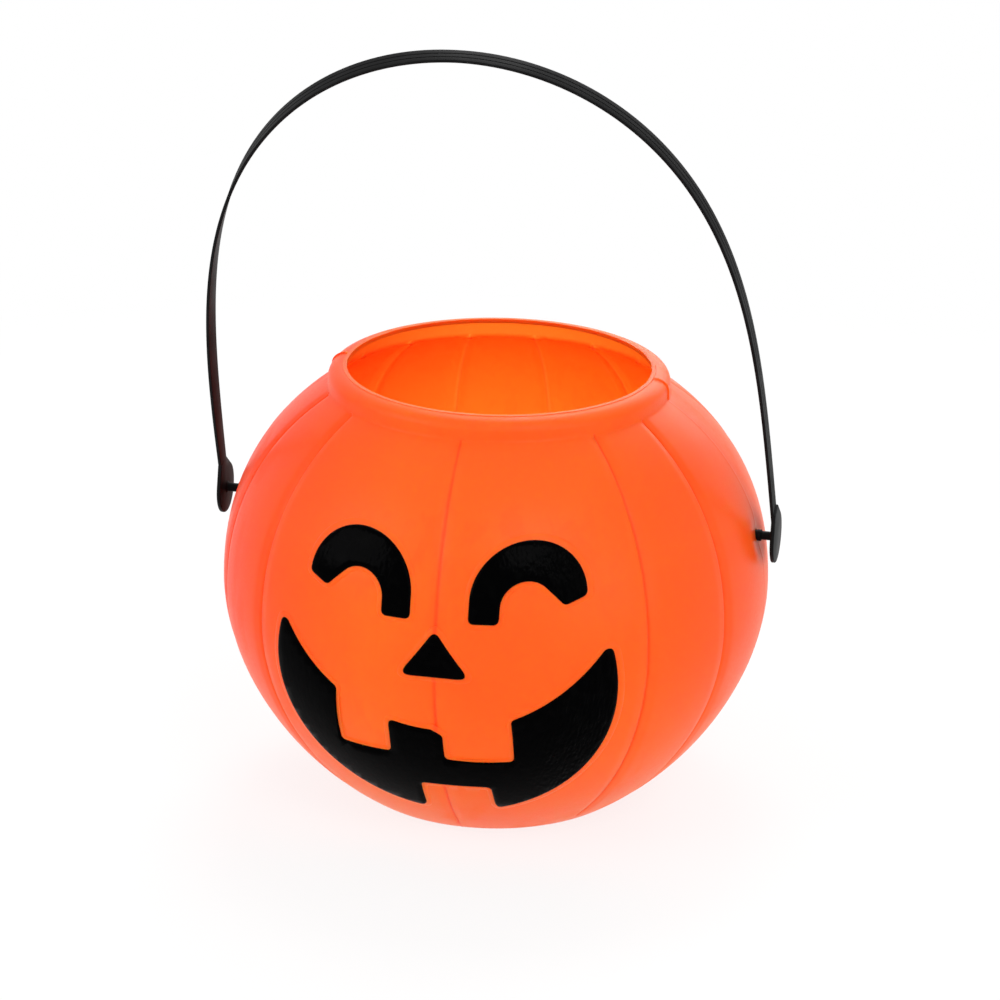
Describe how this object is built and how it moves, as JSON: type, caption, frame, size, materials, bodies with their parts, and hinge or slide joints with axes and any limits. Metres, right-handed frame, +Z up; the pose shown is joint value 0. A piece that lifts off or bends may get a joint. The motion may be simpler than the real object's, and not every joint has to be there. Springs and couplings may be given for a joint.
{
  "type": "halloween basket",
  "caption": "Round open basket shaped like a carved pumpkin, with a raised black face and a swinging strap handle, for carrying sweets.",
  "frame": {"origin": "middle of the foot, on the plane that the basket stands on", "axes": "+Z up, the face looks along -Y, and the handle's hinge line runs along X"},
  "size_m": [0.208, 0.2015, 0.2943],
  "materials": {
    "orange_plastic": "semi-gloss blow-moulded polyethylene",
    "black_paint": "glossy paint over raised areas",
    "black_plastic": "satin moulded polypropylene"
  },
  "bodies": {
    "bucket": {"bucket_shell": "orange_plastic", "left_eye": "black_paint", "right_eye": "black_paint", "nose": "black_paint", "mouth": "black_paint"},
    "handle": {"handle_strap": "black_plastic"}
  },
  "joints": [
    {"name": "handle_hinge", "type": "hinge", "parent": "bucket", "child": "handle", "pos_m": [0, 0, 0.1053], "axis": [1, 0, 0], "range_deg": [-138, 98]}
  ]
}
